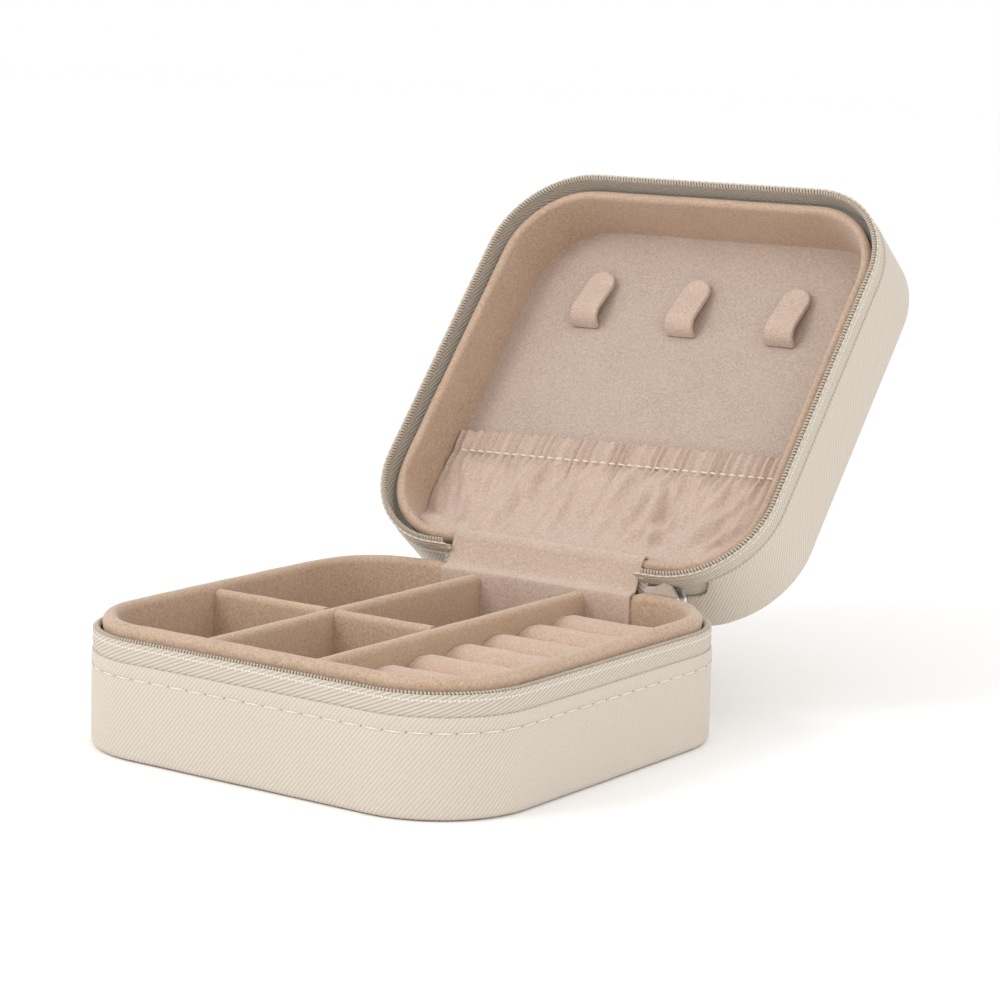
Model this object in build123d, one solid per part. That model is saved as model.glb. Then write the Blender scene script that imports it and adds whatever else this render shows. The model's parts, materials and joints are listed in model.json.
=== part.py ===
from build123d import *
import math
import os

# Travel jewelry box with a zipped, hinged lid.  Millimetres, +Z up, +X along the
# hinge line, +Y towards the hinge.  The origin is the centre of the underside.
# The lid is modelled closed and then laid open about the hinge axis.

os.makedirs("parts", exist_ok=True)

# ---- driving dimensions ----
width = 100.0
depth = 100.0
corner_radius = 21.3
base_band_height = 19.1     # leather wall of the base
lid_band_height = 16.5      # leather wall of the lid
zip_opening = 9.6           # between the two leather edges when closed
open_angle = 129.3          # lid past closed

hinge_inset = 1.1           # hinge axis in from the back face
hinge_rise = 4.4            # hinge axis above the chain plane

leather = 0.8
tape = 0.4
wall_board = 1.6
lining = 2.1                # velvet over foam
fit = 0.05                  # between glued or sewn layers

base_rim_rise = 2.1         # base lining above the chain plane
lid_rim_rise = 2.7          # lid lining above the chain plane
base_floor_top = 4.0
lid_ceiling_drop = 5.3      # lid top face down to the panel inside it

divider_thickness = 3.0
divider_top = 24.8
long_divider_x = {"divider_left": -15.1, "divider_right": 11.5}
cross_divider_y = -4.6

roll_count = 7
roll_pitch = 12.3
roll_start = 1.2            # from the front lining to the first roll
roll_top = 21.3

strap_width = 7.0
strap_length = 14.6
strap_root_y = -17.5
strap_centres = {"left": -25.5, "middle": 0.0, "right": 25.5}
snap_reach = 11.1           # from a strap's root to its snap

tongue_half = 24.0          # half width of the hinge strip and its inner tongue
tongue_tail = 1.1           # how far the tongue runs down the lid's inner wall past the rim

# ---- levels and offsets that follow from them ----
chain_z = base_band_height + zip_opening / 2
lid_edge_z = base_band_height + zip_opening
top_z = lid_edge_z + lid_band_height
ceiling_z = top_z - lid_ceiling_drop
base_rim_z = chain_z + base_rim_rise
lid_rim_z = chain_z + lid_rim_rise
hinge_y = depth / 2 - hinge_inset
hinge_z = chain_z + hinge_rise

tape_inset = leather + fit
board_inset = tape_inset + tape + fit
lining_inset = 3.1
room_inset = lining_inset + lining      # inner face of the velvet wall
corner_centre = width / 2 - corner_radius
board_sheet = 1.5
slider_relief = 0.5                     # the wall boards stop short of the slider's inner plate

coil_height = 1.5
coil_gap = 0.2                          # half the gap between the two coils
coil_outer_inset = 0.45
coil_inner_inset = 1.65


def plan(inset):
    """Rounded-square outline of the box, moved inwards."""
    return RectangleRounded(width - 2 * inset, depth - 2 * inset, corner_radius - inset)


def slab(inset, low, high):
    return Pos(0, 0, low) * extrude(plan(inset), high - low)


def ring(outer_inset, inner_inset, low, high):
    return slab(outer_inset, low, high) - slab(inner_inset, low, high)


def block(x_low, x_high, y_low, y_high, z_low, z_high):
    middle = Pos((x_low + x_high) / 2, (y_low + y_high) / 2, (z_low + z_high) / 2)
    return middle * Box(x_high - x_low, y_high - y_low, z_high - z_low)


def edges_at(shape, level):
    """The edges that lie flat at one height."""
    return [e for e in shape.edges() if abs(e.bounding_box().min.Z - level) < 1e-4
            and abs(e.bounding_box().max.Z - level) < 1e-4]


def save(name, shape):
    export_step(shape, f"parts/{name}.step")


def save_lid(name, shape):
    """Lay a closed-position shape open about the hinge axis and write it."""
    to_axis = Pos(0, hinge_y, hinge_z)
    save(name, to_axis * Rot(-open_angle, 0, 0) * to_axis.inverse() * shape)


# ---- base shell ----
def base_side_band():
    shell = ring(0, leather, 0, base_band_height)
    outer = [e for e in edges_at(shell, 0) if is_outer_edge(e, 0)]
    return fillet(outer, 0.7)


def is_outer_edge(edge, inset):
    """True when an edge's middle lies on the outline at this inset."""
    point = edge @ 0.5
    half = width / 2 - inset
    radius = corner_radius - inset
    over_x = abs(point.X) - (half - radius)
    over_y = abs(point.Y) - (half - radius)
    if over_x > 0 and over_y > 0:
        return abs(math.hypot(over_x, over_y) - radius) < 0.01
    return abs(max(over_x, over_y) - radius) < 0.01


def base_bottom_panel():
    return slab(leather + fit, 0, 1.0)


def base_bottom_board():
    return slab(board_inset, 1.0 + fit, 1.0 + fit + board_sheet)


def base_wall_board():
    top = base_band_height - slider_relief
    return ring(board_inset, board_inset + wall_board, 1.0 + 2 * fit + board_sheet, top)


# ---- zip, base side ----
zip_end = tongue_half + 0.1             # the zip stops beside the hinge strip
stop_length = 1.1
back_reach = block(-zip_end, zip_end, depth / 2 - 10, depth / 2 + 1, 0, top_z)
stop_reach = block(-zip_end - stop_length - fit, zip_end + stop_length + fit,
                   depth / 2 - 10, depth / 2 + 1, 0, top_z)


def base_zip_tape():
    top = chain_z - coil_gap - coil_height - fit
    return ring(tape_inset, tape_inset + tape, 12.0, top) - back_reach


def base_zip_coil():
    top = chain_z - coil_gap
    coil = ring(coil_outer_inset, coil_inner_inset, top - coil_height, top)
    return fillet(edges_at(coil, top), 0.3) - stop_reach


def zip_stops():
    """Metal clips that end the chain on each side of the hinge strip."""
    low = chain_z - coil_gap - coil_height
    clip = block(0, stop_length, depth / 2 - 1.85, depth / 2 - 0.25, low, chain_z - coil_gap + 0.1)
    clip = fillet(clip.edges(), 0.25)
    return Compound([Pos(zip_end + fit / 2, 0, 0) * clip,
                     Pos(-zip_end - stop_length - fit / 2, 0, 0) * clip])


# ---- base lining, dividers and ring rolls ----
tongue_top = base_rim_z - 1.05
tongue_sheet = 0.55


def base_wall_lining():
    wall = ring(lining_inset, room_inset, 1.0 + 2 * fit + board_sheet, base_rim_z)
    wall = fillet(edges_at(wall, base_rim_z), 0.9)
    saddle = block(-tongue_half - 0.3, tongue_half + 0.3, depth / 2 - room_inset - 1,
                   depth / 2 - lining_inset + 1, tongue_top - tongue_sheet - fit, base_rim_z + 1)
    return wall - saddle


def base_floor_lining():
    return slab(room_inset + fit, 1.0 + 2 * fit + board_sheet, base_floor_top)


room_half = width / 2 - room_inset
roll_front = -room_half + roll_start
divider_back = depth / 2 - room_inset - tongue_sheet - 0.1
board_core = 1.2


def divider(x_low, x_high, y_low, y_high):
    """A board wrapped in velvet; the wrap is open underneath, where the board stands."""
    low = base_floor_top + fit
    body = block(x_low, x_high, y_low, y_high, low, divider_top)
    round_over = [e for e in edges_at(body, divider_top) if e.length > 5]
    body = fillet(round_over, 1.2)
    inset = (divider_thickness - board_core) / 2
    core = block(x_low + inset, x_high - inset, y_low + inset, y_high - inset, low, divider_top - 1.4)
    slack = block(x_low + inset - fit, x_high - inset + fit, y_low + inset - fit, y_high - inset + fit,
                  low - 1, divider_top - 1.4 + fit)
    return body - slack, core


def dividers():
    half = divider_thickness / 2
    spans = {}
    for name, x in long_divider_x.items():
        spans[name] = (x - half, x + half, -room_half + fit, divider_back)
    left, right = long_divider_x["divider_left"], long_divider_x["divider_right"]
    y_low, y_high = cross_divider_y - half, cross_divider_y + half
    spans["divider_cross_left"] = (-room_half + fit, left - half - fit, y_low, y_high)
    spans["divider_cross_middle"] = (left + half + fit, right - half - fit, y_low, y_high)
    for name, span in spans.items():
        wrap, core = divider(*span)
        save(name, wrap)
        save(name + "_board", core)


ring_bay_low = long_divider_x["divider_right"] + divider_thickness / 2 + 0.1
ring_bay = slab(room_inset + 0.1, 0, top_z) & block(ring_bay_low, width / 2, -depth / 2, depth / 2, 0, top_z)
roll_card_top = base_floor_top + 1.5


def ring_roll_card():
    sheet = block(0, width / 2, -depth / 2, roll_front + roll_count * roll_pitch,
                  base_floor_top + fit, roll_card_top)
    return sheet & ring_bay


def ring_roll(index):
    """Velvet over a foam strip with a half-round crest, running across the bay."""
    radius = (roll_pitch - 0.2) / 2
    y = roll_front + roll_pitch * (index + 0.5)
    low = roll_card_top + fit
    strip = block(0, width / 2, y - radius, y + radius, low, roll_top - radius)
    crest = Pos(width / 4, y, roll_top - radius) * Rot(0, 90, 0) * Cylinder(radius, width / 2)
    return (strip + crest) & ring_bay


# ---- hinge strip and inner tongue ----
def hinge_strip_lower():
    y_out = depth / 2 - tape_inset
    return block(-tongue_half, tongue_half, y_out - tape, y_out, 12.0, chain_z + 0.1)


def hinge_strip_upper():
    y_out = depth / 2 - tape_inset
    return block(-tongue_half, tongue_half, y_out - tape, y_out, lid_edge_z + 0.05, lid_edge_z + 7.3)


def tongue_lower():
    wall_y = depth / 2 - room_inset - fit
    upright = block(-tongue_half, tongue_half, wall_y - tongue_sheet, wall_y, 8.0, tongue_top)
    fold = block(-tongue_half, tongue_half, wall_y - tongue_sheet, depth / 2 - lining_inset,
                 tongue_top - tongue_sheet, tongue_top)
    return upright + fold


def tongue_upper():
    """The tongue's other end, folded over the lid's rim and down the lid's inner wall."""
    wall_y = depth / 2 - room_inset - fit
    low = lid_rim_z - fit - tongue_sheet
    upright = block(-tongue_half, tongue_half, wall_y - tongue_sheet, wall_y, low, lid_rim_z + tongue_tail)
    fold = block(-tongue_half, tongue_half, wall_y - tongue_sheet, depth / 2 - lining_inset,
                 low, low + tongue_sheet)
    return upright + fold


# ---- lid shell ----
notch_span = (25.0, 37.0)   # along X, where the parked slider stands
notch_rise = 4.2            # above the lid's leather edge


def slider_notch(reach):
    """Room for the parked slider, cut in from the back face by reach."""
    return block(*notch_span, depth / 2 - reach, depth / 2 + 1, chain_z, lid_edge_z + notch_rise)


def lid_side_band():
    shell = ring(0, leather, lid_edge_z, top_z)
    outer = [e for e in edges_at(shell, top_z) if is_outer_edge(e, 0)]
    return fillet(outer, 0.7) - slider_notch(5.0)


def lid_top_panel():
    return slab(leather + fit, top_z - 1.0, top_z)


def lid_top_board():
    high = top_z - 1.0 - fit
    return slab(board_inset, high - board_sheet, high)


lid_board_low = top_z - 1.0 - 2 * fit - board_sheet


def lid_wall_board():
    wall = ring(board_inset, board_inset + wall_board, lid_edge_z + slider_relief, lid_board_low)
    return wall - slider_notch(board_inset + wall_board + 0.15)


def lid_top_foam():
    return slab(board_inset + wall_board + fit, ceiling_z + 1.3 + fit, lid_board_low)


def lid_panel():
    return slab(room_inset + fit, ceiling_z, ceiling_z + 1.3)


def lid_wall_lining():
    wall = ring(lining_inset, room_inset, lid_rim_z, ceiling_z + 1.3)
    return fillet(edges_at(wall, lid_rim_z), 0.9)


# ---- zip, lid side: it starts part-way round each back corner ----
corner_start = 52.0         # degrees round the corner from the back


def zip_keep():
    """The plan region in front of the two start lines at the back corners."""
    reach = corner_radius * 1.5
    lean = math.radians(corner_start)
    x, y = corner_centre + reach * math.sin(lean), corner_centre + reach * math.cos(lean)
    points = [(corner_centre, corner_centre), (x, y), (width, y), (width, -depth),
              (-width, -depth), (-width, y), (-x, y), (-corner_centre, corner_centre)]
    return extrude(make_face(Polyline(*points, close=True)), top_z)


def lid_zip_tape():
    low = chain_z + coil_gap + coil_height + fit
    return ring(tape_inset, tape_inset + tape, low, lid_edge_z + 4.3) & zip_keep()


def lid_zip_coil():
    low = chain_z + coil_gap
    coil = ring(coil_outer_inset, coil_inner_inset, low, low + coil_height)
    return fillet(edges_at(coil, low), 0.3) & zip_keep()


# ---- gathered pocket ----
pocket_mouth_y = 13.0
pocket_sheet = 1.1


def band(points, thickness, half_width):
    """A strip of even thickness along a curve in the YZ plane, centred on x = 0."""
    curve = Spline(*points) if len(points) > 2 else Line(*points)
    return extrude(Plane.YZ * trace(curve, thickness), half_width, both=True)


def pocket_panel():
    points = [(pocket_mouth_y, ceiling_z - 2.6), (22.0, ceiling_z - 4.0), (33.0, ceiling_z - 5.4),
              (39.5, ceiling_z - 7.4), (45.5, ceiling_z - 10.4)]
    return band(points, pocket_sheet, room_half) & slab(room_inset + 0.1, chain_z, top_z)


def pocket_elastic():
    points = [(pocket_mouth_y + 1.0, ceiling_z - 1.75), (pocket_mouth_y + 5.5, ceiling_z - 2.55)]
    return band(points, 0.6, room_half - 0.3)


# ---- necklace straps and their snaps ----
def strap(centre):
    """A bowed strap, fixed at its root, whose rounded end snaps down on the panel."""
    line = [(0.0, 0.7), (0.9, 2.7), (3.4, 3.9), (7.6, 3.1), (snap_reach, 2.3), (strap_length + 1, 2.3)]
    body = band([(strap_root_y - along, ceiling_z - out) for along, out in line], 1.1, strap_width / 2)
    radius = strap_width / 2
    tip_y = strap_root_y - strap_length + radius
    outline = Pos(0, (strap_root_y + 2 + tip_y) / 2) * Rectangle(strap_width, strap_root_y + 2 - tip_y)
    outline += Pos(0, tip_y) * Circle(radius)
    return Pos(centre, 0, 0) * (body & Pos(0, 0, chain_z) * extrude(outline, top_z - chain_z))


def snap_stud(centre):
    """Flange on the panel with a knob."""
    spot = Pos(centre, strap_root_y - snap_reach, ceiling_z)
    flange = spot * Pos(0, 0, -0.3) * Cylinder(2.3, 0.5)
    knob = spot * Pos(0, 0, -0.8) * Cylinder(1.2, 0.6)
    return flange + knob


def snap_socket(centre):
    """Ring under the strap's end that the knob sits in."""
    spot = Pos(centre, strap_root_y - snap_reach, ceiling_z - 1.05)
    return spot * (Cylinder(2.2, 0.7) - Cylinder(1.45, 2.0))


# ---- slider and pull, parked at the back right corner ----
slider_angle = 4.2          # round the corner from the back
slider_half = 4.1
inner_plate = (18.6, 19.35)             # radii about the corner's centre
outer_plate = (21.15, 21.95)
bail_radius = 0.45
bail_reach = 23.5
bail_z = chain_z - 2.0


def parked(shape):
    """Turn a shape made at the start of the corner to the slider's parking place."""
    return Pos(corner_centre, corner_centre, 0) * Rot(0, 0, -slider_angle) * shape


def tube_shell(radii, low, high):
    shell = Cylinder(radii[1], high - low) - Cylinder(radii[0], high - low)
    return Pos(0, 0, (low + high) / 2) * shell


def slider_plate(radii, half_side):
    """A plate that follows the corner, wide at the mouth and narrow at the tail."""
    points = half_side + [(x, -z) for x, z in reversed(half_side)]
    face = make_face(Polyline(*points, close=True))
    face = fillet(face.vertices(), 0.7)
    outline = Pos(0, 30, chain_z) * Rot(90, 0, 0) * extrude(face, 20)
    blank_half = slider_half + 2            # taller than any plate
    return tube_shell(radii, chain_z - blank_half, chain_z + blank_half) & outline


def slider_body():
    inner_side = [(-slider_half, 3.4), (-1.6, 3.7), (0.5, 4.8), (2.2, 4.3), (slider_half, 2.0)]
    outer_side = [(-slider_half, 2.5), (-1.0, 2.7), (1.9, 3.6), (3.2, 3.3), (slider_half, 1.8)]
    plates = slider_plate(inner_plate, inner_side) + slider_plate(outer_plate, outer_side)
    bridge = block(1.2, 2.9, inner_plate[0] + 0.4, outer_plate[0] + 0.4, chain_z - 0.1, chain_z + 1.5)
    bar = Pos(-0.4, bail_reach, bail_z) * Rot(0, 90, 0) * Cylinder(bail_radius, 4.6)
    body = plates + bridge + bar
    for x in (-2.3, 1.5):
        body += block(x - 0.4, x + 0.4, outer_plate[0] + 0.4, bail_reach, bail_z - bail_radius,
                      bail_z + bail_radius)
    return parked(body)


def slider_pull():
    """Drop pull that hangs from the bail by an eye."""
    eye_inner, eye_outer, length = 0.6, 1.15, 16.0
    at_bar = Pos(-0.4, bail_reach, bail_z)
    eye = at_bar * Rot(0, 90, 0) * (Cylinder(eye_outer, 1.8) - Cylinder(eye_inner, 3))
    neck = block(-1.3, 0.5, bail_reach - 0.5, bail_reach + 0.5, bail_z - 3.6, bail_z - eye_inner - 0.25)
    drop = Pos(-0.4, bail_reach, bail_z - 3.2 - (length - 3.2) / 2)
    tab = drop * Box(4.4, 1.1, length - 3.2)
    tab = fillet(tab.edges().filter_by(Axis.Y), 2.0)
    hole = Pos(-0.4, bail_reach, bail_z - length + 3.2) * Rot(90, 0, 0) * Cylinder(1.0, 4)
    return parked(eye + neck + tab - hole)


for make in (base_side_band, base_bottom_panel, base_bottom_board, base_wall_board, base_zip_tape,
             base_zip_coil, zip_stops, base_wall_lining, base_floor_lining, ring_roll_card,
             hinge_strip_lower, tongue_lower, slider_body, slider_pull):
    save(make.__name__, make())

dividers()
for index in range(roll_count):
    save(f"ring_roll_{index + 1}", ring_roll(index))

for make in (lid_side_band, lid_top_panel, lid_top_board, lid_wall_board, lid_top_foam, lid_panel,
             lid_wall_lining, lid_zip_tape, lid_zip_coil, hinge_strip_upper, tongue_upper,
             pocket_panel, pocket_elastic):
    save_lid(make.__name__, make())

for side, centre in strap_centres.items():
    save_lid(f"strap_{side}", strap(centre))
    save_lid(f"snap_socket_{side}", snap_socket(centre))
    save_lid(f"snap_stud_{side}", snap_stud(centre))
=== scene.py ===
import json
import math

import bmesh
import bpy
from mathutils import Matrix, Vector, noise


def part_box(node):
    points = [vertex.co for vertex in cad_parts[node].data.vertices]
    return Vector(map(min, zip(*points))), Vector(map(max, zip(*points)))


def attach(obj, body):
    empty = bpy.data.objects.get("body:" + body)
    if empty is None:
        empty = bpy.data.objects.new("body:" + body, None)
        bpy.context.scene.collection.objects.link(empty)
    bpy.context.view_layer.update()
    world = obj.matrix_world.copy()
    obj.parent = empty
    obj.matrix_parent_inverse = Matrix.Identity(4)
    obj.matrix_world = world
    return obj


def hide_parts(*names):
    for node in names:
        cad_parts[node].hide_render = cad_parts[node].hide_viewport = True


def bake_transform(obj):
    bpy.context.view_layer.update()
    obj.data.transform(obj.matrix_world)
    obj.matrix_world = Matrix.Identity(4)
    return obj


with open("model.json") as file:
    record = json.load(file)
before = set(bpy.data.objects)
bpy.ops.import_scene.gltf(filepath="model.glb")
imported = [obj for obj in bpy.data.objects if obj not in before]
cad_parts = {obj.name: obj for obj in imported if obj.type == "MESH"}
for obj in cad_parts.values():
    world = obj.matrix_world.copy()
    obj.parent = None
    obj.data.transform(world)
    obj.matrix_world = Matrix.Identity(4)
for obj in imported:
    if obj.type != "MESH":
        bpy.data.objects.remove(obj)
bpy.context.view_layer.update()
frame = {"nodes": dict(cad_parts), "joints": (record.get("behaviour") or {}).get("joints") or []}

# Pieces are built in millimetres, the lid's ones as if it were shut, and then put in place.
mm = 0.001
uvName = "lay"                      # distance round the wall and height, in millimetres


def jointNamed(name):
    return next(j for j in frame["joints"] if j["name"] == name)


def nodeBox(node):
    low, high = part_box(node)
    return low / mm, high / mm


hinge = Vector(jointNamed("lid_hinge")["pos_m"]) / mm
openAngle = math.radians(jointNamed("lid_hinge")["range_deg"][1])
toOpen = Matrix.Translation(hinge) @ Matrix.Rotation(-openAngle, 4, "X") @ Matrix.Translation(-hinge)
toShut = toOpen.inverted()


def shutBox(node):
    points = [toShut @ (v.co / mm) for v in frame["nodes"][node].data.vertices]
    return (Vector([min(p[i] for p in points) for i in range(3)]),
            Vector([max(p[i] for p in points) for i in range(3)]))


half = nodeBox("base_side_band")[1].x
leatherTop = nodeBox("base_side_band")[1].z
lidEdge = shutBox("lid_side_band")[0].z
lidTop = shutBox("lid_side_band")[1].z
ceiling = shutBox("lid_panel")[0].z
core = jointNamed("slider_travel")["pos_m"][0] / mm      # centre of each rounded corner
chain = jointNamed("slider_travel")["pos_m"][2] / mm     # height where the two coils meet
cornerRadius = half - core
sideLength = 2 * core + cornerRadius * math.pi / 2
perimeter = 4 * sideLength
webHalf = nodeBox("tongue_lower")[1].x
baseRim = nodeBox("base_wall_lining")[1].z
lidRim = shutBox("lid_wall_lining")[0].z
floorTop = nodeBox("base_floor_lining")[1].z
roomInset = 5.2
liningInset = 3.1


class Signal:
    # a shader value that sums and products can be written on
    def __init__(self, finish, socket):
        self.finish = finish
        self.socket = socket

    def maths(self, operation, *values):
        sockets = dict(enumerate(values))
        return self.finish.node("Math", {"operation": operation}, sockets)

    def __add__(self, other):
        return self.maths("ADD", self, other)

    def __sub__(self, other):
        return self.maths("SUBTRACT", self, other)

    def __rsub__(self, other):
        return self.maths("SUBTRACT", other, self)

    def __mul__(self, other):
        return self.maths("MULTIPLY", self, other)

    def __truediv__(self, other):
        return self.maths("DIVIDE", self, other)

    def __pow__(self, other):
        return self.maths("POWER", self, other)

    __radd__ = __add__
    __rmul__ = __mul__

    def wave(self):
        # 0 to 1 and back, once for each whole number
        turned = self * (2 * math.pi)
        return self.maths("SINE", turned) * 0.5 + 0.5

    def fold(self, pitch):
        # distance from the nearest multiple of the pitch
        return self.maths("PINGPONG", self, pitch / 2)

    def clamp(self):
        return self.finish.node("Clamp", {}, {0: self})


class Finish:
    def __init__(self, name, slot):
        self.material = bpy.data.materials.new(name)
        self.material.use_nodes = True
        self.slot = slot
        self.tree = self.material.node_tree
        self.shader = self.tree.nodes["Principled BSDF"]

    def feed(self, socket, value):
        if isinstance(value, Signal):
            self.tree.links.new(value.socket, socket)
        else:
            socket.default_value = value

    def node(self, kind, settings, inputs, output=0):
        made = self.tree.nodes.new("ShaderNode" + kind)
        for key, value in settings.items():
            setattr(made, key, value)
        for key, value in inputs.items():
            self.feed(made.inputs[key], value)
        return Signal(self, made.outputs[output])

    def mix(self, amount, first, second):
        return self.node("Mix", {"data_type": "RGBA"}, {0: amount, 6: first, 7: second}, 2)

    def layCoordinates(self):
        uv = self.node("UVMap", {"uv_map": uvName}, {})
        return [self.node("SeparateXYZ", {}, {0: uv}, i) for i in range(2)]

    def place(self):
        return self.node("TexCoord", {}, {}, "Object")

    def noise(self, size, detail=2.0):
        # cloudy grain whose grains are about size millimetres across
        settings = {"Vector": self.place(), "Scale": 1 / (size * mm), "Detail": detail}
        return self.node("TexNoise", {}, settings)

    def cells(self, size):
        settings = {"Vector": self.place(), "Scale": 1 / (size * mm)}
        return self.node("TexVoronoi", {"feature": "SMOOTH_F1"}, settings)

    def finishWith(self, colour, height, depth, roughness, fixed):
        self.feed(self.shader.inputs["Base Color"], colour)
        self.feed(self.shader.inputs["Roughness"], roughness)
        if height is not None:
            bump = self.node("Bump", {}, {"Height": height, "Distance": depth * mm, "Strength": 1.0})
            self.feed(self.shader.inputs["Normal"], bump)
        for name, value in fixed.items():
            self.shader.inputs[name].default_value = value
        return self


def shade(red, green, blue):
    # screen colour, 0 to 255, as the linear colour that shaders use
    def linear(value):
        value /= 255
        return value / 12.92 if value <= 0.04045 else ((value + 0.055) / 1.055) ** 2.4
    return (linear(red), linear(green), linear(blue), 1.0)


stitchRow = {"drop": 2.85, "count": 79, "length": 3.8, "thick": 0.3, "holeRadius": 0.3}
stitchHeight = leatherTop - stitchRow["drop"]
stitchPitch = perimeter / stitchRow["count"]

# the hole colour is painted shade for the stitch holes
leatherLook = {"ribPitch": 0.72, "lean": 50.0, "deep": shade(188, 177, 162),
               "light": shade(218, 208, 196), "hole": shade(140, 122, 104), "emboss": 0.07}


def leatherFinish(name, stitched):
    look = leatherLook
    f = Finish(name, "shell_leather")
    u, v = f.layCoordinates()
    drift = f.noise(2.2) * 0.22
    lean = math.radians(look["lean"])
    rib = ((u * math.sin(lean) + v * math.cos(lean)) / look["ribPitch"] + drift).wave()
    grain = f.noise(0.45, 3.0)
    height = rib * 0.75 + grain * 0.3
    colour = f.mix((rib * 0.7 + grain * 0.5 - 0.05).clamp(), look["deep"], look["light"])
    broad = f.noise(16.0)
    colour = f.mix(broad * 0.3, colour, shade(200, 188, 172))
    if stitched:
        across = (u + stitchPitch / 2).fold(stitchPitch)
        off = v - stitchHeight
        reach = (across * across + off * off) ** 0.5
        hole = (1.0 - reach / stitchRow["holeRadius"]).clamp()
        # painted shade: the stitch holes are darkened in colour as well as sunk in the bump
        colour = f.mix(hole, colour, look["hole"])
        height = height - hole * 2.0
    roughness = 0.52 - height * 0.1
    return f.finishWith(colour, height, look["emboss"], roughness,
                        {"Specular IOR Level": 0.38, "Coat Roughness": 0.4})


def velvetFinish(name, dark, light, pebble, emboss):
    f = Finish(name, "velvet")
    fibre = f.noise(0.2, 3.0)
    grain = f.noise(0.5, 3.0)
    pits = f.cells(pebble)
    height = fibre * 0.35 + grain * 0.45 + pits * 0.5
    tone = ((grain - 0.5) * 1.5 + (fibre - 0.5) * 1.6 + 0.5).clamp()
    colour = f.mix(tone, dark, light)
    broad = (f.noise(11.0) * 1.6 - 0.45).clamp()
    colour = f.mix(broad * 0.3, colour, light)
    return f.finishWith(colour, height, emboss, 0.92 - grain * 0.08,
                        {"Sheen Weight": 0.35, "Sheen Roughness": 0.45, "Specular IOR Level": 0.2})


tapeLook = {"barPitch": 0.7, "crossPitch": 0.5, "lean": 23.0, "deep": shade(172, 160, 144),
            "light": shade(214, 204, 190)}


def tapeFinish(name):
    f = Finish(name, "zip_tape")
    u, v = f.layCoordinates()
    lean = math.radians(tapeLook["lean"])
    bar = ((u * math.sin(lean) + v * math.cos(lean)) / tapeLook["barPitch"]).wave() ** 0.45
    cross = ((u * math.cos(lean) - v * math.sin(lean)) / tapeLook["crossPitch"]).wave()
    grain = f.noise(0.3)
    height = bar * 0.75 + cross * 0.2 + grain * 0.2
    colour = f.mix((bar * 0.7 + cross * 0.15 + grain * 0.3).clamp(), tapeLook["deep"], tapeLook["light"])
    return f.finishWith(colour, height, 0.16, 0.85, {"Sheen Weight": 0.15, "Specular IOR Level": 0.25})


def plainWeaveFinish(name, slot, deep, light, size):
    # greyboard, foam, thread and elastic: a fine grain with soft blotches
    f = Finish(name, slot)
    height = f.noise(size, 4.0)
    colour = f.mix(height, deep, light)
    return f.finishWith(colour, height, size * 0.2, 0.8 + height * 0.1, {"Specular IOR Level": 0.25})


def metalFinish(name):
    f = Finish(name, "polished_metal")
    scuff = f.noise(0.6, 4.0)
    colour = f.mix(scuff, shade(226, 225, 222), shade(248, 248, 246))
    return f.finishWith(colour, scuff, 0.006, 0.24 + scuff * 0.16, {"Metallic": 0.9})


baseLeather = leatherFinish("baseLeather", True)
lidLeather = leatherFinish("lidLeather", False)
liningVelvet = velvetFinish("liningVelvet", shade(162, 134, 112), shade(208, 182, 159), 0.8, 0.1)
dividerVelvet = velvetFinish("dividerVelvet", shade(162, 133, 110), shade(208, 182, 158), 0.8, 0.1)
rollVelvet = velvetFinish("rollVelvet", shade(176, 148, 129), shade(216, 190, 172), 0.8, 0.1)
panelSuede = velvetFinish("panelSuede", shade(162, 142, 128), shade(206, 186, 173), 1.1, 0.3)
clothSuede = velvetFinish("clothSuede", shade(172, 149, 133), shade(214, 192, 177), 0.9, 0.13)
zipTape = tapeFinish("zipTape")
zipCoil = plainWeaveFinish("zipCoil", "zip_coil", shade(168, 156, 141), shade(216, 205, 191), 0.5)
stitchThread = plainWeaveFinish("stitchThread", "zip_tape", shade(214, 206, 196), shade(246, 242, 236), 0.4)
silver = metalFinish("silver")
greyboard = plainWeaveFinish("greyboard", "greyboard", shade(128, 124, 116), shade(160, 155, 146), 0.7)
foam = plainWeaveFinish("foam", "foam", shade(214, 208, 190), shade(240, 235, 220), 0.6)
elastic = plainWeaveFinish("elastic", "elastic", shade(214, 206, 196), shade(240, 235, 228), 0.5)
print("finishes made")


def wallFrame(along, inset, z):
    # the place on the wall, with X clockwise along it, Y outwards and Z up
    side, rest = divmod(along + core, sideLength)
    if rest <= 2 * core:
        point, lean = Vector((rest - core, half - inset, z)), 0.0
    else:
        lean = (rest - 2 * core) / cornerRadius
        reach = cornerRadius - inset
        point = Vector((core + reach * math.sin(lean), core + reach * math.cos(lean), z))
    turned = Matrix.Rotation(-math.pi / 2 * side, 4, "Z")
    return turned @ Matrix.Translation(point) @ Matrix.Rotation(-lean, 4, "Z")


def alongWall(point):
    # distance round the wall, clockwise from the middle of the back
    near = Vector((max(-core, min(core, point.x)), max(-core, min(core, point.y))))
    away = Vector((point.x, point.y)) - near
    turn = math.atan2(away.x, away.y) % (2 * math.pi)
    if abs(away.y) >= abs(away.x):
        if away.y < 0:
            straight = 4 * core - near.x
        elif near.x >= 0 and turn < math.pi:
            straight = near.x
        else:
            straight = 8 * core + near.x
            turn = turn or 2 * math.pi
    else:
        straight = 2 * core - near.y if away.x > 0 else 6 * core + near.y
    return straight + cornerRadius * turn


def layWall(bm):
    layer = bm.loops.layers.uv.new(uvName)
    for face in bm.faces:
        spots = [alongWall(loop.vert.co) for loop in face.loops]
        wraps = max(spots) - min(spots) > perimeter / 2
        for loop, spot in zip(face.loops, spots):
            if wraps and spot < perimeter / 2:
                spot += perimeter
            loop[layer].uv = (spot, loop.vert.co.z)


def layFlat(bm):
    layer = bm.loops.layers.uv.new(uvName)
    for face in bm.faces:
        for loop in face.loops:
            loop[layer].uv = (loop.vert.co.x, loop.vert.co.y)


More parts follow.
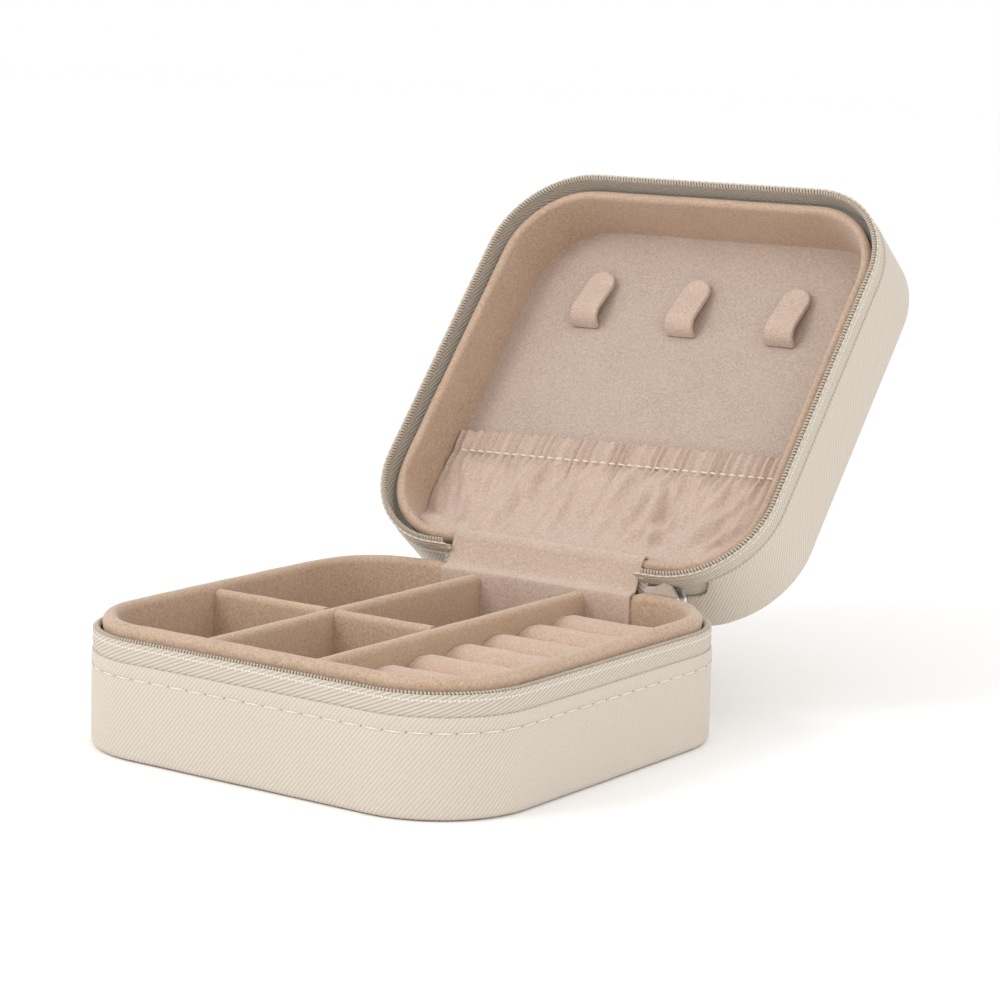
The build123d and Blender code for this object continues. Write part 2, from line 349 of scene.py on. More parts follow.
straightStep = core / 12
cornerSteps = 18


def sweepWall(profile, start=0.0, closed=True):
    # carries a profile of (inset, height) points round the wall, from start to as far before the end
    bm = bmesh.new()
    place = wallFrame(start, 0, 0)
    ring = [bm.verts.new(place @ Vector((0, -inset, z))) for inset, z in profile]
    pairs = list(zip(ring, ring[1:])) + ([(ring[-1], ring[0])] if closed else [])
    cut = ring + [bm.edges.new(pair) for pair in pairs]
    firstEdges = [e for e in cut if isinstance(e, bmesh.types.BMEdge)]

    def carry(geometry, centre, angle, shift, steps):
        made = bmesh.ops.spin(bm, geom=geometry, cent=centre, axis=(0, 0, -1), angle=angle,
                              dvec=shift, steps=steps, use_duplicate=False, use_merge=False)
        return made["geom_last"]

    finish = perimeter - start
    for side in range(5):
        turned = Matrix.Rotation(-math.pi / 2 * side, 4, "Z")
        low = max(start, side * sideLength - core)
        high = min(finish, side * sideLength + core)
        if high - low > 1e-4:
            steps = max(1, round((high - low) / straightStep))
            shift = turned @ Vector(((high - low) / steps, 0, 0))
            cut = carry(cut, (0, 0, 0), 0.0, shift, steps)
        low = max(start, side * sideLength + core)
        high = min(finish, (side + 1) * sideLength - core)
        if high - low > 1e-4:
            angle = (high - low) / cornerRadius
            steps = max(1, round(cornerSteps * angle / (math.pi / 2)))
            cut = carry(cut, turned @ Vector((core, core, 0)), angle, (0, 0, 0), steps)
    if closed and start > 0:
        bmesh.ops.edgeloop_fill(bm, edges=firstEdges)
        bmesh.ops.edgeloop_fill(bm, edges=[e for e in cut if isinstance(e, bmesh.types.BMEdge)])
    bmesh.ops.remove_doubles(bm, verts=bm.verts, dist=0.002)
    bmesh.ops.recalc_face_normals(bm, faces=bm.faces)
    return bm


def arc(centre, radius, first, last, steps):
    # points on an arc from one angle to another, in degrees
    angles = [math.radians(first + (last - first) * i / steps) for i in range(steps + 1)]
    return [(centre[0] + radius * math.cos(a), centre[1] + radius * math.sin(a)) for a in angles]


def thicken(line, thickness):
    # the closed outline of a strip that follows a line of points
    sides = ([], [])
    for i, (x, z) in enumerate(line):
        before, after = line[max(i - 1, 0)], line[min(i + 1, len(line) - 1)]
        run = Vector((after[0] - before[0], after[1] - before[1])).normalized() * thickness / 2
        sides[0].append((x - run.y, z + run.x))
        sides[1].append((x + run.y, z - run.x))
    return sides[0] + sides[1][::-1]


def smoothLine(points, steps):
    # a smooth curve through given points
    line = []
    last = len(points) - 1
    for i in range(last):
        a, b, c, d = (Vector(points[max(0, min(last, k))]) for k in (i - 1, i, i + 1, i + 2))
        for step in range(steps):
            t = step / steps
            line.append(tuple(0.5 * (2 * b + (c - a) * t + (2 * a - 5 * b + 4 * c - d) * t * t
                                     + (3 * b - 3 * c + d - a) * t ** 3)))
    return line + [tuple(points[-1])]


def ease(value, low, high):
    # 0 below low, 1 above high, smooth between
    t = max(0.0, min(1.0, (value - low) / (high - low)))
    return t * t * (3 - 2 * t)


def soften(bm, amount, size):
    # the slight unevenness of hand-laid cloth and padding
    bm.normal_update()
    for v in bm.verts:
        v.co += v.normal * amount * noise.noise(v.co / size)


def makePiece(bm, name, finish, onLid=False, smooth=True, keepAngle=50):
    bm.transform(Matrix.Scale(mm, 4) @ (toOpen if onLid else Matrix.Identity(4)))
    mesh = bpy.data.meshes.new(name)
    bm.to_mesh(mesh)
    bm.free()
    mesh.materials.append(finish.material)
    mesh.polygons.foreach_set("use_smooth", [smooth] * len(mesh.polygons))
    mesh.set_sharp_from_angle(angle=math.radians(keepAngle))
    piece = bpy.data.objects.new(name, mesh)
    bpy.context.scene.collection.objects.link(piece)
    return piece


leatherWall = {"thickness": 0.8, "baseRadius": 1.3, "lidRadius": 1.8, "groove": 0.14, "grooveHalf": 0.45,
               "uneven": (0.06, 14)}


def leatherProfile(foldEdge, roundEdge, radius, grooved):
    # rounded at the closed end, folded over at the zip end
    t = leatherWall["thickness"]
    tall = abs(foldEdge - roundEdge)
    line = arc((radius, radius), radius, 270, 180, 7)
    line += [(0, tall * k) for k in (0.2, 0.35, 0.5, 0.65)]
    if grooved:
        middle = tall - stitchRow["drop"]
        reach = leatherWall["grooveHalf"]
        line += [(0, middle - reach), (leatherWall["groove"], middle), (0, middle + reach)]
    line += arc((t / 2, tall - t / 2), t / 2, 180, 0, 8)
    line += [(t, tall * k) for k in (0.6, 0.3)]
    line += arc((radius, radius), radius - t, 180, 270, 4)
    way = 1 if foldEdge > roundEdge else -1
    return [(inset, roundEdge + way * rise) for inset, rise in line]


def makeBaseLeather():
    bm = sweepWall(leatherProfile(leatherTop, 0.0, leatherWall["baseRadius"], True))
    soften(bm, *leatherWall["uneven"])
    layWall(bm)
    piece = makePiece(bm, "base_leather_wall", baseLeather)
    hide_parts("base_side_band")
    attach(piece, "base")


notch = {"low": 25.0, "high": 37.0, "rise": 4.2, "ease": 2.0}


def makeLidLeather():
    bm = sweepWall(leatherProfile(lidEdge, lidTop, leatherWall["lidRadius"], False))
    for v in bm.verts:                      # the edge lifts over the parked slider
        if v.co.y > core:
            inside = ease(v.co.x, notch["low"] - notch["ease"], notch["low"])
            inside *= 1 - ease(v.co.x, notch["high"], notch["high"] + notch["ease"])
            share = (lidTop - v.co.z) / (lidTop - lidEdge)
            v.co.z += notch["rise"] * inside * share
    soften(bm, *leatherWall["uneven"])
    layWall(bm)
    piece = makePiece(bm, "lid_leather_wall", lidLeather, onLid=True)
    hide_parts("lid_side_band")
    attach(piece, "lid")


def makePanel(edgeInset, level, thickness, upwards, insets=(0.0, 0.25, 0.8, 2.0, 5.0, 10.0)):
    # a sheet over the whole plan, whose height at a point is given by level(x, y, inset)
    reach = [(edgeInset + i, 0.0) for i in insets] + [(cornerRadius, 0.0)]
    bm = sweepWall(reach, closed=False)
    bmesh.ops.create_grid(bm, x_segments=24, y_segments=24, size=core)
    bmesh.ops.remove_doubles(bm, verts=bm.verts, dist=0.01)
    for v in bm.verts:
        near = Vector((max(-core, min(core, v.co.x)), max(-core, min(core, v.co.y))))
        edge = cornerRadius - (Vector((v.co.x, v.co.y)) - near).length
        v.co.z = level(v.co.x, v.co.y, edge)
    bmesh.ops.recalc_face_normals(bm, faces=bm.faces)
    if (next(iter(bm.faces)).normal.z > 0) != upwards:
        bmesh.ops.reverse_faces(bm, faces=bm.faces)
    bmesh.ops.solidify(bm, geom=bm.faces, thickness=thickness)
    return bm


def makePanels():
    edge = leatherWall["lidRadius"] + 0.06

    def crowned(x, y, inset):
        return lidTop + 0.5 * ease(inset, edge, 14) - 0.35 * (1 - ease(inset, edge, edge + 0.7))
    bm = makePanel(edge, crowned, 0.8, True)
    layFlat(bm)
    top = makePiece(bm, "lid_leather_top", lidLeather, onLid=True)
    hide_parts("lid_top_panel")
    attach(top, "lid")

    edge = leatherWall["baseRadius"] + 0.06
    bm = makePanel(edge, lambda x, y, inset: 0.02, 0.8, False)
    layFlat(bm)
    bottom = makePiece(bm, "base_leather_bottom", lidLeather)
    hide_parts("base_bottom_panel")
    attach(bottom, "base")


def addBead(bm, place, size, turn=0.0):
    shape = place @ Matrix.Rotation(turn, 4, "Y") @ Matrix.Diagonal((*size, 1))
    bmesh.ops.create_uvsphere(bm, u_segments=6, v_segments=5, radius=0.5, matrix=shape)


def makeTopstitch():
    bm = bmesh.new()
    size = (stitchRow["thick"], stitchRow["thick"], stitchRow["length"])
    for i in range(stitchRow["count"]):
        along = stitchPitch * i
        sway = 0.05 * noise.noise(Vector((i * 1.7, 0, 0)))
        place = wallFrame(along, 0.0, stitchHeight + sway)
        addBead(bm, place, size, math.pi / 2)
    piece = makePiece(bm, "base_topstitch", stitchThread)
    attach(piece, "base")


makeBaseLeather()
makeLidLeather()
makePanels()
makeTopstitch()
print("leather shells made")


tapeStrip = {"thickness": 0.4, "base": [(1.05, 12.0), (1.05, 17.6), (0.75, 18.9), (0.48, 19.8),
                                        (0.42, 20.9), (0.44, 22.1), (0.46, 23.2)]}
coilWire = {"pitch": 0.75, "wire": 0.24, "deep": 0.36, "tall": 0.52, "inset": 1.22, "turnPoints": 8}
chainStitch = {"pitch": 0.85, "size": (0.66, 0.24, 0.36), "inset": 0.29, "row": -0.75}
backStop = webHalf + 1.2


def mirrorHeight(line):
    # the lid's zip is the base's one seen in the plane where the chains meet
    return [(inset, 2 * chain - z) for inset, z in line]


def makeTape(name, line, start, onLid, node, body):
    bm = sweepWall(thicken(smoothLine(line, 3), tapeStrip["thickness"]), start)
    layWall(bm)
    piece = makePiece(bm, name, zipTape, onLid=onLid)
    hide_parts(node)
    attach(piece, body)


def coilMesh(start, middle, wire):
    # one long helix round the wall
    turns = round((perimeter - 2 * start) / wire["pitch"])
    count = turns * wire["turnPoints"]
    curve = bpy.data.curves.new("coilLine", "CURVE")
    curve.dimensions = "3D"
    curve.bevel_depth = wire["wire"]
    curve.bevel_resolution = 1
    curve.use_fill_caps = True
    spline = curve.splines.new("POLY")
    spline.points.add(count)
    for i in range(count + 1):
        along = start + (perimeter - 2 * start) * i / count
        angle = 2 * math.pi * i / wire["turnPoints"]
        inset = wire["inset"] - wire["deep"] * math.cos(angle)
        place = wallFrame(along, inset, middle + wire["tall"] * math.sin(angle))
        spline.points[i].co = (*place.translation, 1)
    holder = bpy.data.objects.new("coilLine", curve)
    mesh = bpy.data.meshes.new_from_object(holder)
    bpy.data.objects.remove(holder)
    bm = bmesh.new()
    bm.from_mesh(mesh)
    bpy.data.meshes.remove(mesh)
    return bm


def makeCoil(name, start, middle, way, onLid, node, body):
    bm = coilMesh(start, middle, coilWire)
    piece = makePiece(bm, name, zipCoil, onLid=onLid)
    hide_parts(node)
    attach(piece, body)
    bm = bmesh.new()
    inset = chainStitch["inset"]
    count = round((perimeter - 2 * start) / chainStitch["pitch"])
    for i in range(count):
        along = start + (perimeter - 2 * start) * (i + 0.5) / count
        place = wallFrame(along, inset, middle + way * chainStitch["row"])
        addBead(bm, place, chainStitch["size"])
    stitches = makePiece(bm, name + "_stitches", stitchThread, onLid=onLid)
    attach(stitches, body)


baseCoilMiddle = (nodeBox("base_zip_coil")[0].z + nodeBox("base_zip_coil")[1].z) / 2
lidCoilMiddle = 2 * chain - baseCoilMiddle
lidTapeLine = mirrorHeight(tapeStrip["base"])[::-1]
makeTape("base_tape", tapeStrip["base"], webHalf + 0.1, False, "base_zip_tape", "base")
makeTape("lid_tape", lidTapeLine, webHalf + 0.1, True, "lid_zip_tape", "lid")
makeCoil("base_coil", backStop, baseCoilMiddle, 1, False, "base_zip_coil", "base")
makeCoil("lid_coil", backStop, lidCoilMiddle, -1, True, "lid_zip_coil", "lid")
print("zip made")


def liningProfile(foot, rim, bulge):
    # padded wall, rolled over at its rim; rises from foot to rim whichever way that is
    tall = abs(rim - foot)
    outer, inner = liningInset - bulge, roomInset
    radius = (inner - outer) / 2
    line = [(liningInset, 0), (liningInset, tall * 0.5), (liningInset, tall - 6.0)]
    line += [(outer + 0.25, tall - 3.6)]
    line += arc(((outer + inner) / 2, tall - radius), radius, 180, 0, 12)
    line += [(inner, tall * k) for k in (0.8, 0.6, 0.4, 0.2)] + [(inner, 0)]
    way = 1 if rim > foot else -1
    return [(inset, foot + way * rise) for inset, rise in line]


baseLining = {"bulge": 1.0, "saddle": 0.75, "ease": 3.0}
liningUneven = (0.16, 9)
lidBulge = 0.15
sliderLow, sliderHigh = nodeBox("slider_body")


def makeBaseLining():
    foot = nodeBox("base_wall_lining")[0].z
    travel = math.radians(jointNamed("slider_travel")["range_deg"][1])
    relief = sliderHigh.x + cornerRadius * travel
    bm = sweepWall(liningProfile(foot, baseRim, baseLining["bulge"]))
    for v in bm.verts:
        if v.co.y > core:
            span = abs(v.co.x)
            under = 1 - ease(span, webHalf - 0.5, webHalf + 1.2)
            v.co.z -= under * baseLining["saddle"] * ease(v.co.z, baseRim - 8, baseRim)
            along = alongWall(v.co)
            near = ease(along, sliderLow.x - baseLining["ease"], sliderLow.x)
            near *= 1 - ease(along, relief, relief + 4)
            limit = wallLimit(v.co, liningInset)
            v.co.xy = v.co.xy.lerp(limit, max(near, under))
    soften(bm, *liningUneven)
    piece = makePiece(bm, "base_velvet_wall", liningVelvet)
    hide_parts("base_wall_lining")
    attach(piece, "base")


def wallLimit(point, inset):
    # the point brought in to the given inset where it stands outside it
    near = Vector((max(-core, min(core, point.x)), max(-core, min(core, point.y))))
    away = Vector((point.x, point.y)) - near
    reach = min(away.length, cornerRadius - inset)
    return near + away.normalized() * reach if away.length > 0 else near


def pushOut(point, inset):
    # the point carried out to the given inset where it stands inside it
    near = Vector((max(-core, min(core, point.x)), max(-core, min(core, point.y))))
    away = Vector((point.x, point.y)) - near
    return near + away.normalized() * max(away.length, cornerRadius - inset)


def makeLidLining():
    foot = shutBox("lid_wall_lining")[1].z
    bm = sweepWall(liningProfile(foot, lidRim, lidBulge))
    soften(bm, *liningUneven)
    piece = makePiece(bm, "lid_velvet_wall", liningVelvet, onLid=True)
    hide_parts("lid_wall_lining")
    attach(piece, "lid")


def makeFloorAndCeiling():
    def floorLevel(x, y, inset):
        return floorTop + 0.12 * noise.noise(Vector((x / 8, y / 8, 0)))
    bm = makePanel(roomInset + 0.05, floorLevel, 1.0, True)
    floor = makePiece(bm, "base_velvet_floor", liningVelvet)
    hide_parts("base_floor_lining")
    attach(floor, "base")

    def ceilingLevel(x, y, inset):
        puff = 0.5 * ease(inset, roomInset, roomInset + 5)
        return ceiling + 0.4 - puff + 0.14 * noise.noise(Vector((x / 9, y / 9, 4)))
    bm = makePanel(roomInset - 0.1, ceilingLevel, 1.0, False)
    panel = makePiece(bm, "lid_suede_panel", panelSuede, onLid=True)
    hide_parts("lid_panel")
    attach(panel, "lid")


makeBaseLining()
makeLidLining()
makeFloorAndCeiling()
print("linings made")


dividerShape = {"round": 1.35, "cuts": 14, "puff": 0.12}


def makeDivider(node):
    low, high = nodeBox(node)
    size, middle = high - low, (low + high) / 2
    bm = bmesh.new()
    bmesh.ops.create_cube(bm, size=1.0, matrix=Matrix.Translation(middle) @ Matrix.Diagonal((*size, 1)))
    topEdges = [e for e in bm.edges if all(v.co.z > middle.z for v in e.verts)
                and e.calc_length() > min(size.x, size.y) + 1]
    bmesh.ops.bevel(bm, geom=topEdges, offset=dividerShape["round"], offset_type="OFFSET",
                    segments=5, profile=0.5, affect="EDGES", material=-1)
    length = max(size.x, size.y)
    axis = Vector((1, 0, 0)) if size.x > size.y else Vector((0, 1, 0))
    for k in range(1, dividerShape["cuts"]):
        spot = low + axis * (length * k / dividerShape["cuts"])
        bmesh.ops.bisect_plane(bm, geom=bm.verts[:] + bm.edges[:] + bm.faces[:], dist=1e-4,
                               plane_co=spot, plane_no=axis)
    for k in range(1, 6):
        spot = low + Vector((0, 0, size.z * k / 6))
        bmesh.ops.bisect_plane(bm, geom=bm.verts[:] + bm.edges[:] + bm.faces[:], dist=1e-4,
                               plane_co=spot, plane_no=(0, 0, 1))
    soften(bm, dividerShape["puff"], 6)
    piece = makePiece(bm, node + "_velvet", dividerVelvet)
    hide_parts(node)
    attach(piece, "base")


rollShape = {"steps": 16, "cuts": 16, "dip": 0.5, "tuck": 2.2, "uneven": (0.22, 5)}


def makeRoll(index):
    node = f"ring_roll_{index}"
    low, high = nodeBox(node)
    fullLow, fullHigh = nodeBox("ring_roll_4")      # the corners of the bay clip the end rolls
    radius = (fullHigh.y - fullLow.y) / 2
    middle = high.y - radius if index < 4 else low.y + radius
    bayEnd = fullHigh.x
    bm = bmesh.new()
    line = [(middle - radius, low.z)] + [(middle + y, z) for y, z in
                                         arc((0, high.z - radius), radius, 180, 0, rollShape["steps"])]
    line += [(middle + radius, low.z)]
    verts = [bm.verts.new((low.x, y, z)) for y, z in line]
    edges = [bm.edges.new((a, b)) for a, b in zip(verts, verts[1:] + verts[:1])]
    made = bmesh.ops.spin(bm, geom=verts + edges, cent=(0, 0, 0), axis=(1, 0, 0), angle=0.0,
                          dvec=((bayEnd - low.x) / rollShape["cuts"], 0, 0), steps=rollShape["cuts"])
    bmesh.ops.edgeloop_fill(bm, edges=edges)
    bmesh.ops.edgeloop_fill(bm, edges=[e for e in made["geom_last"] if isinstance(e, bmesh.types.BMEdge)])
    bmesh.ops.recalc_face_normals(bm, faces=bm.faces)
    for v in bm.verts:                      # the crest dips where the wrap is tucked in at each end
        ends = min(v.co.x - low.x, bayEnd - v.co.x)
        tucked = 1 - ease(ends, 0, rollShape["tuck"])
        v.co.z -= rollShape["dip"] * tucked * ease(v.co.z, high.z - radius, high.z)
        v.co.xy = wallLimit(v.co, roomInset + 0.1)
    soften(bm, *rollShape["uneven"])
    piece = makePiece(bm, node + "_velvet", rollVelvet)
    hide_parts(node)
    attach(piece, "base")


for node in ("divider_left", "divider_right", "divider_cross_left", "divider_cross_middle"):
    makeDivider(node)
for rollIndex in range(1, 8):
    makeRoll(rollIndex)
print("dividers and rolls made")


def openPoint(y, z):
    point = toOpen @ Vector((0, y, z))
    return point.y, point.z


def makeCrossing(name, finish, line, xLow, xHigh, thickness, cuts, edgeWave=0.0):
    # a sheet that runs from the base to the lid, drawn in the open position
    bm = bmesh.new()
    outline = thicken(smoothLine(line, 6), thickness)
    verts = [bm.verts.new((xLow, y, z)) for y, z in outline]
    edges = [bm.edges.new((a, b)) for a, b in zip(verts, verts[1:] + verts[:1])]
    made = bmesh.ops.spin(bm, geom=verts + edges, cent=(0, 0, 0), axis=(1, 0, 0), angle=0.0,
                          dvec=((xHigh - xLow) / cuts, 0, 0), steps=cuts)
    bmesh.ops.edgeloop_fill(bm, edges=edges)
    bmesh.ops.edgeloop_fill(bm, edges=[e for e in made["geom_last"] if isinstance(e, bmesh.types.BMEdge)])
    bmesh.ops.recalc_face_normals(bm, faces=bm.faces)
    layer = bm.loops.layers.uv.new(uvName)
    for face in bm.faces:
        for loop in face.loops:
            loop[layer].uv = (loop.vert.co.x, loop.vert.co.z + loop.vert.co.y)
    if edgeWave:
        soften(bm, edgeWave, 7)
    piece = makePiece(bm, name, finish)
    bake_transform(piece)
    return piece


stripY = half - 1.05
tongueY = nodeBox("tongue_lower")[0].y + 0.3


def makeHinge():
    line = [(stripY, 12.0), (stripY, 19.0), (stripY, 24.5), (stripY + 0.05, 26.8), (stripY + 0.6, 27.9)]
    line += [openPoint(stripY, z) for z in (29.8, 32.0, 36.0)]
    strip = makeCrossing("hinge_strip", lidLeather, line, -webHalf, webHalf, 0.4, 24)
    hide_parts("hinge_strip_lower", "hinge_strip_upper")

    rim = baseRim - baseLining["saddle"]
    line = [(tongueY, 8.0), (tongueY, 16.0), (tongueY, rim - 1.0), (tongueY + 0.5, rim + 0.1),
            (tongueY + 1.9, rim + 0.55), (tongueY + 2.75, rim + 1.8)]
    line += [openPoint(47.68, lidRim + 0.19), openPoint(46.5, lidRim - 0.26), openPoint(45.1, lidRim - 0.34),
             openPoint(44.45, lidRim + 0.35), openPoint(44.35, lidRim + 1.3)]
    tongue = makeCrossing("tongue", clothSuede, line, -webHalf, webHalf, 0.55, 40,
                          edgeWave=0.12)
    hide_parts("tongue_lower", "tongue_upper")


web = {"reach": 2.0, "inset": 0.75, "low": 21.6, "bow": 1.2, "inner": 1.45, "along": 20, "up": 14,
       "thickness": 0.4}


def makeWeb(side):
    # a narrow piece of woven tape beside the tongue that joins the base's tape to the lid's
    far = webHalf + web["reach"]
    bm = bmesh.new()
    layer = bm.loops.layers.uv.new(uvName)
    bmesh.ops.create_grid(bm, x_segments=web["along"], y_segments=web["up"], size=1.0)
    spots = {}
    for v in bm.verts:
        spot = (v.co.x + 1) / 2
        t = (v.co.y + 1) / 2
        along = webHalf - 0.4 + (far - webHalf + 0.4) * spot
        foot = wallFrame(along, web["inset"], web["low"])
        head = toOpen @ wallFrame(along, web["inset"], 2 * chain - web["low"])
        start, finish = foot.translation, head.translation
        first = start + Vector((0, 0, web["bow"]))
        second = finish - (toOpen.to_3x3() @ Vector((0, 0, web["bow"])))
        point = start * (1 - t) ** 3 + first * (3 * t * (1 - t) ** 2)
        point += second * (3 * t * t * (1 - t)) + finish * t ** 3
        spots[v] = (along, t * (finish - start).length)
        slack = web["inner"] + 2.0 * ease(point.z, 28.6, 29.4)
        point.xy = pushOut(point, slack)
        v.co = Vector((point.x * side, point.y, point.z))
    for face in bm.faces:
        for loop in face.loops:
            loop[layer].uv = spots[loop.vert]
    bmesh.ops.recalc_face_normals(bm, faces=bm.faces)
    if next(iter(bm.faces)).normal.y < 0:
        bmesh.ops.reverse_faces(bm, faces=bm.faces)
    bmesh.ops.solidify(bm, geom=bm.faces, thickness=web["thickness"])
    piece = makePiece(bm, "corner_web_right" if side > 0 else "corner_web_left", zipTape)
    foot = wallFrame(0, web["inset"], web["low"]).translation
    head = toOpen @ Vector((0, foot.y, 2 * chain - web["low"]))
    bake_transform(piece)


makeHinge()
makeWeb(1)
makeWeb(-1)
print("hinge made")


pocket = {"mouth": 12.3, "stitchAt": 5.7, "thickness": 0.6, "across": 220, "down": 70,
          "pleatPitch": 2.2, "tilt": -1.5,
          "ruffle": 0.5, "fold": 2.8, "ridgeAt": 9.5, "ridge": 1.7, "most": 1.9}
pocketStitch = {"count": 36, "reach": 0.93, "size": (1.9, 0.5, 0.7), "sunk": 0.25}
pocketElastic = {"inset": 0.6, "below": 1.1, "wide": 4.0, "depth": 0.95, "thickness": 0.5}
pocketDepth = [(0.0, 2.5), (6.0, 3.2), (14.0, 4.2), (21.0, 5.9), (26.5, 8.0), (31.5, 10.4)]


def depthAt(down):
    for (a, first), (b, second) in zip(pocketDepth, pocketDepth[1:]):
        if down <= b:
            return first + (second - first) * (down - a) / (b - a)
    return pocketDepth[-1][1]


def makePocket():
    room = core + cornerRadius - roomInset - 0.15
    corner = cornerRadius - roomInset - 0.15
    last = room - 0.35
    bm = bmesh.new()
    bmesh.ops.create_grid(bm, x_segments=pocket["across"], y_segments=pocket["down"], size=1.0)
    for v in bm.verts:
        s, t = v.co.x, (v.co.y + 1) / 2
        mouth = pocket["mouth"] + pocket["tilt"] * s
        y = mouth + (last - mouth) * t
        down = y - mouth
        wide = room if y < core else core + math.sqrt(max(0.0, corner ** 2 - (y - core) ** 2))
        x = s * wide
        flat = 1 - abs(s) ** 6
        depth = 1.7 + (depthAt(down) - 1.7) * (flat if down < 20 else max(flat, ease(down, 20, 27)))
        wander = 0.7 * noise.noise(Vector((x / 5, 0, 0)))
        ruffle = math.sin(2 * math.pi * (x / pocket["pleatPitch"] + wander))
        tight = math.exp(-((down - pocket["stitchAt"]) / 1.6) ** 2)
        fan = x + (x * 0.25) * ease(down, pocket["stitchAt"], 30)
        big = noise.noise(Vector((x * 0.16, 0.05 * down, 3.1)))
        big += 0.7 * noise.noise(Vector((fan * 0.33, 0.07 * down, 9.2)))
        ridge = math.exp(-((x - pocket["ridgeAt"] - 0.35 * down) / 1.5) ** 2)
        crease = math.exp(-((x - pocket["ridgeAt"] - 0.35 * down - 2.6) / 1.1) ** 2)
        below = ease(down, pocket["stitchAt"], pocket["stitchAt"] + 5)
        calm = ease(down, pocket["stitchAt"] + 0.5, pocket["stitchAt"] + 7)
        depth += pocket["ruffle"] * ruffle * (1 - 0.85 * calm)
        folds = pocket["fold"] * big + pocket["ridge"] * (ridge - 0.5 * crease)
        folds = pocket["most"] * math.tanh(folds / pocket["most"])
        depth += folds * below * (1 - ease(down, 25, 31)) * flat
        depth -= 0.5 * tight
        v.co = Vector((x, y, ceiling - depth))
    bmesh.ops.recalc_face_normals(bm, faces=bm.faces)
    if next(iter(bm.faces)).normal.z > 0:
        bmesh.ops.reverse_faces(bm, faces=bm.faces)
    bmesh.ops.solidify(bm, geom=bm.faces, thickness=pocket["thickness"])
    piece = makePiece(bm, "gathered_pocket", clothSuede, onLid=True)
    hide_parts("pocket_panel")
    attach(piece, "lid")

    bm = bmesh.new()
    count = pocketStitch["count"]
    for i in range(count):
        s = pocketStitch["reach"] * (2 * (i + 0.5) / count - 1)
        y = pocket["mouth"] + pocket["tilt"] * s + pocket["stitchAt"]
        z = ceiling - depthAt(pocket["stitchAt"]) + pocketStitch["sunk"]
        addBead(bm, Matrix.Translation((s * room, y, z)), pocketStitch["size"])
    stitches = makePiece(bm, "pocket_stitches", stitchThread, onLid=True)
    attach(stitches, "lid")

    bm = bmesh.new()
    bmesh.ops.create_grid(bm, x_segments=40, y_segments=4, size=1.0)
    for v in bm.verts:                      # the elastic lies flat behind the hem
        y = pocket["mouth"] + pocket["tilt"] * v.co.x + pocketElastic["below"]
        y += pocketElastic["wide"] * (v.co.y + 1) / 2
        v.co = Vector((v.co.x * (room - pocketElastic["inset"]), y, ceiling - pocketElastic["depth"]))
    bmesh.ops.recalc_face_normals(bm, faces=bm.faces)
    if next(iter(bm.faces)).normal.z > 0:
        bmesh.ops.reverse_faces(bm, faces=bm.faces)
    bmesh.ops.solidify(bm, geom=bm.faces, thickness=pocketElastic["thickness"])
    band = makePiece(bm, "pocket_elastic_band", elastic, onLid=True)
    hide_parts("pocket_elastic")
    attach(band, "lid")


makePocket()
print("pocket made")


strapShape = {"width": 7.0, "thickness": 1.1, "root": -17.5, "length": 14.6, "round": 0.3}
strapLine = [(0.0, 0.5), (0.9, 2.7), (3.4, 3.9), (7.6, 3.1), (11.1, 2.3), (14.6, 2.3)]


def makeStrap(side):
    low, high = shutBox(f"strap_{side}")
    middle, reach = (low.x + high.x) / 2, strapShape["width"] / 2
    line = smoothLine(strapLine, 6)
    bm = bmesh.new()
    bmesh.ops.create_grid(bm, x_segments=8, y_segments=len(line) - 1, size=1.0)
    for v in bm.verts:
        spot = (v.co.y + 1) / 2 * (len(line) - 1)
        along, out = line[min(round(spot), len(line) - 1)]
        tip = max(0.0, along - (strapShape["length"] - reach)) / reach
        wide = reach * math.sqrt(max(0.02, 1 - tip * tip))
        v.co = Vector((middle + v.co.x * wide, strapShape["root"] - along, ceiling - out))
    bmesh.ops.recalc_face_normals(bm, faces=bm.faces)
    bmesh.ops.solidify(bm, geom=bm.faces, thickness=strapShape["thickness"])
    rims = [e for e in bm.edges if e.is_manifold and e.calc_face_angle() > 1.0]
    bmesh.ops.bevel(bm, geom=rims, offset=strapShape["round"], offset_type="OFFSET", segments=3, profile=0.5,
                    affect="EDGES", material=-1)
    piece = makePiece(bm, f"strap_{side}_suede", clothSuede, onLid=True)
    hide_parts(f"strap_{side}")
    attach(piece, f"strap_{side}")


for side in ("left", "middle", "right"):
    makeStrap(side)
print("straps made")


cadFinishes = {"slider_body": silver, "slider_pull": silver, "zip_stops": silver,
               "lid_top_foam": foam, "ring_roll_card": greyboard}
for name, node in frame["nodes"].items():
    finish = cadFinishes.get(name)
    if name.startswith("snap_"):
        finish = silver
    if name.endswith("_board"):
        finish = greyboard
    if finish is not None:
        node.data.materials.clear()
        node.data.materials.append(finish.material)


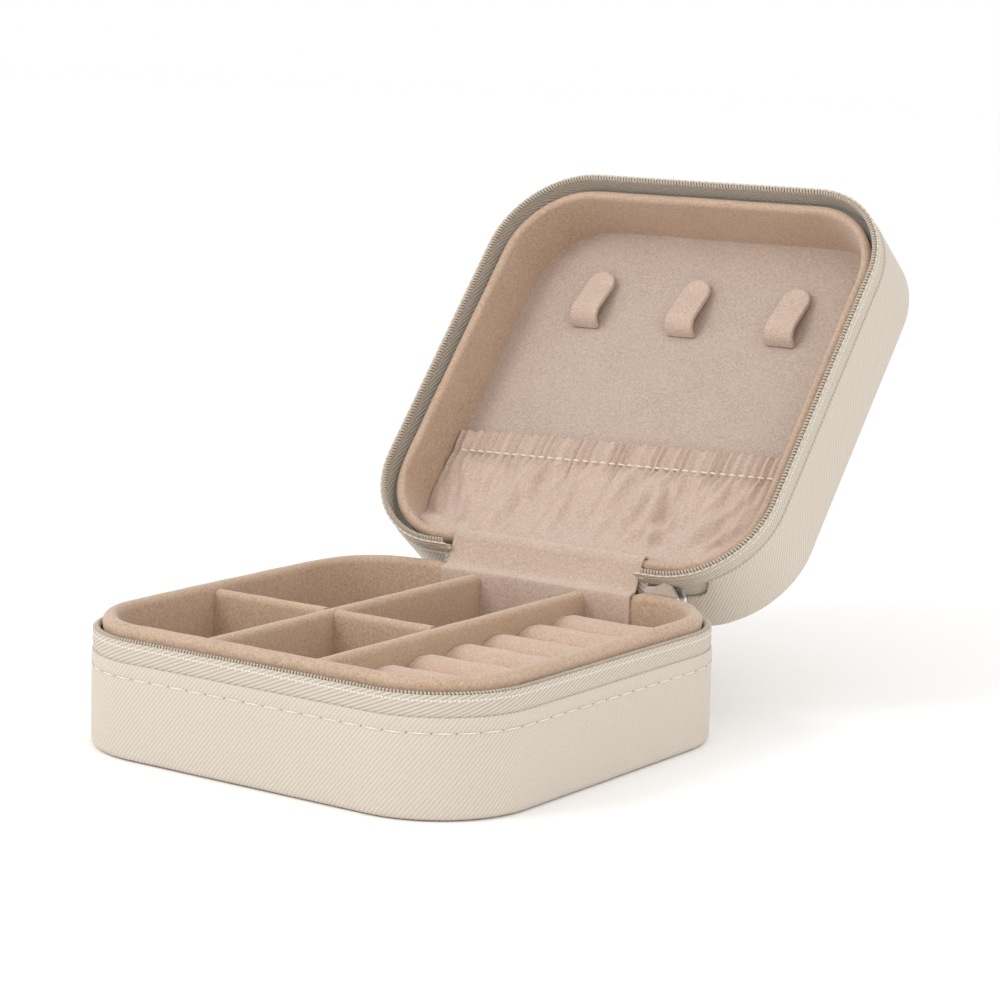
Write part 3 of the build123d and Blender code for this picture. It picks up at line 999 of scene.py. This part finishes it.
def makeStage():
    bm = bmesh.new()
    bmesh.ops.create_grid(bm, x_segments=1, y_segments=1, size=4000.0,
                          matrix=Matrix.Translation((0, 0, -0.15)))
    paper = Finish("studioFloor", None)
    paper.finishWith(shade(255, 255, 255), None, 0, 0.9, {"Specular IOR Level": 0.1})
    bm.transform(Matrix.Scale(mm, 4))
    mesh = bpy.data.meshes.new("studio_floor")
    bm.to_mesh(mesh)
    bm.free()
    mesh.materials.append(paper.material)
    floor = bpy.data.objects.new("studio_floor", mesh)
    bpy.context.scene.collection.objects.link(floor)


lamps = {"key": {"at": (-0.45, -0.75, 0.75), "size": 0.4, "power": 3.0, "tint": (1.0, 0.985, 0.96)},
         "fill": {"at": (0.8, -0.35, 0.55), "size": 0.8, "power": 1.2, "tint": (1.0, 0.93, 0.85)}}


def makeLight():
    world = bpy.data.worlds.new("studio")
    world.use_nodes = True
    world.node_tree.nodes["Background"].inputs["Color"].default_value = (1, 1, 1, 1)
    world.node_tree.nodes["Background"].inputs["Strength"].default_value = 1.0
    bpy.context.scene.world = world
    bpy.context.scene.view_settings.view_transform = "Standard"
    for name, lamp in lamps.items():
        data = bpy.data.lights.new(name, "AREA")
        data.size, data.energy, data.color = lamp["size"], lamp["power"], lamp["tint"]
        item = bpy.data.objects.new(name, data)
        item.location = lamp["at"]
        item.rotation_euler = (Vector((0, 0.02, 0.03)) - item.location).to_track_quat("-Z", "Y").to_euler()
        bpy.context.scene.collection.objects.link(item)


view = {"at": (341.77, -457.16, 144.31), "azimuth": 34.98, "elevation": 9.53, "roll": 1.49, "lens": 105.76}


def makeCamera():
    a, e, r = (math.radians(view[k]) for k in ("azimuth", "elevation", "roll"))
    back = Vector((math.sin(a) * math.cos(e), -math.cos(a) * math.cos(e), math.sin(e)))
    level = Vector((math.cos(a), math.sin(a), 0))
    rise = back.cross(level)
    right = level * math.cos(r) + rise * math.sin(r)
    up = rise * math.cos(r) - level * math.sin(r)
    data = bpy.data.cameras.new("camera")
    data.sensor_width, data.lens = 36, view["lens"]
    data.clip_start, data.clip_end = 0.01, 20
    camera = bpy.data.objects.new("camera", data)
    turn = Matrix((right, up, back)).transposed().to_4x4()
    camera.matrix_world = Matrix.Translation(Vector(view["at"]) * mm) @ turn
    bpy.context.scene.collection.objects.link(camera)
    bpy.context.scene.camera = camera


makeStage()
makeLight()
makeCamera()
print("stage, light and camera made")
